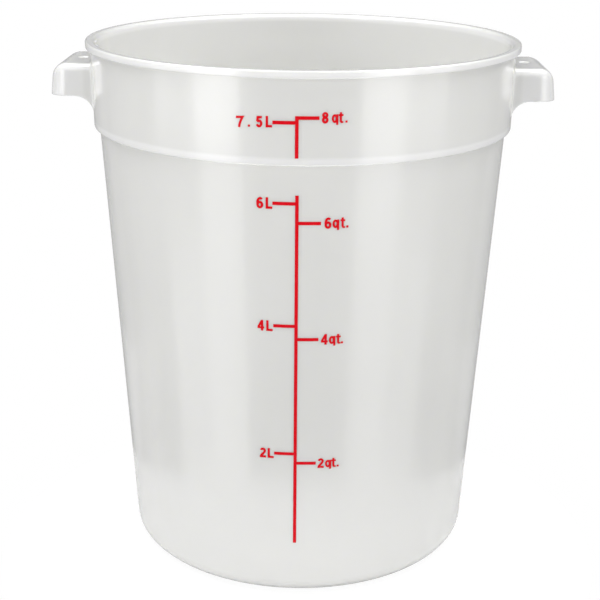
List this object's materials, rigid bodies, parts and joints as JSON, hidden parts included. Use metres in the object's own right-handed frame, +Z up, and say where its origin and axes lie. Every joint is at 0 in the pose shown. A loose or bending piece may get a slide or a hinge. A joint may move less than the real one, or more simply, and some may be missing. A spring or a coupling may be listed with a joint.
{
  "type": "round food storage container",
  "caption": "Tapered round food storage container in translucent white plastic, with a lipped rim, a stepped collar, hollow lug handles and a red printed volume scale.",
  "frame": {"origin": "centre of the base, on the surface that the container stands on", "axes": "+Z up through the mouth; the handles lie along X; the printed scale faces -Y"},
  "size_m": [0.2554, 0.222, 0.2711],
  "materials": {
    "container_plastic": "milky translucent polypropylene, satin gloss",
    "scale_ink": "printed red ink, satin"
  },
  "bodies": {
    "root": {"vessel": "container_plastic", "left_handle": "container_plastic", "right_handle": "container_plastic", "upper_scale_print": "scale_ink", "lower_scale_print": "scale_ink"}
  },
  "joints": []
}
